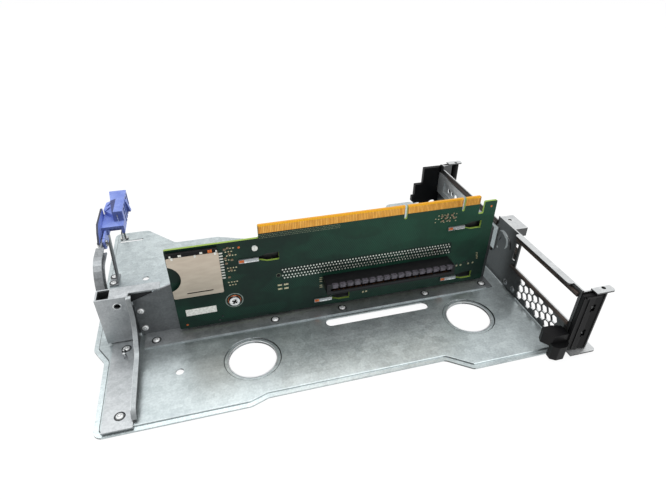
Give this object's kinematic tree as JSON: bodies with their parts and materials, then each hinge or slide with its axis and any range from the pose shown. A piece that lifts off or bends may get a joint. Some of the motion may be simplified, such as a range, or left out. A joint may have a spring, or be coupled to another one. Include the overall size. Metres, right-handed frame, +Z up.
{
  "type": "server riser",
  "caption": "Server riser cage: a folded steel tray and end plate with an upright riser board, two card slots and a card socket",
  "frame": {"origin": "middle of the overall box, on its underside", "axes": "+X along the board towards the card brackets, +Y away from the front bay, +Z up"},
  "size_m": [0.2976, 0.2182, 0.0737],
  "materials": {
    "galvanised_sheet": "satin",
    "board_green": "satin",
    "gold_plate": "satin",
    "black_plastic": "matte",
    "tinned_metal": "satin",
    "bright_steel": "polished",
    "ceramic_tan": "matte",
    "ceramic_dark": "matte",
    "label_white": "matte",
    "brown_spring": "satin",
    "blue_plastic": "satin"
  },
  "bodies": {
    "frame": {"base_plate": "galvanised_sheet", "centre_wall": "galvanised_sheet", "end_plate": "galvanised_sheet", "latch_bracket": "galvanised_sheet", "card_arm": "galvanised_sheet", "filler_panel": "galvanised_sheet", "riser_board": "board_green", "edge_contacts": "gold_plate", "front_slot": "black_plastic", "front_slot_contacts": "gold_plate", "rear_slot": "black_plastic", "rear_slot_joints": "tinned_metal", "sd_shell": "bright_steel", "sd_body": "black_plastic", "sd_pins": "tinned_metal", "board_screw": "bright_steel", "board_standoff": "bright_steel", "capacitors": "ceramic_tan", "resistors": "ceramic_dark", "blank_label": "label_white", "front_upper_gasket": "brown_spring", "front_lower_gasket": "brown_spring", "rear_upper_gasket": "brown_spring", "rear_lower_gasket": "brown_spring", "holder_pin": "bright_steel", "guide_pin": "bright_steel", "wall_rivets": "bright_steel", "bracket_rivets": "bright_steel", "end_plate_rivets": "bright_steel", "side_rivets": "bright_steel"},
    "front_clamp": {"front_retainer": "black_plastic"},
    "rear_clamp": {"rear_retainer": "black_plastic"},
    "holder": {"card_holder": "blue_plastic"}
  },
  "joints": [
    {"name": "front_retainer_hinge", "type": "hinge", "parent": "frame", "child": "front_clamp", "pos_m": [0.14325, -0.1024, 0.0245], "axis": [0, 0, 1], "range_deg": [0, 95]},
    {"name": "rear_retainer_hinge", "type": "hinge", "parent": "frame", "child": "rear_clamp", "pos_m": [0.14325, 0.0784, 0.0245], "axis": [0, 0, -1], "range_deg": [0, 95]},
    {"name": "card_holder_hinge", "type": "hinge", "parent": "frame", "child": "holder", "pos_m": [-0.14035, 0.0281, 0.0417], "axis": [1, 0, 0], "range_deg": [0, 75]}
  ]
}
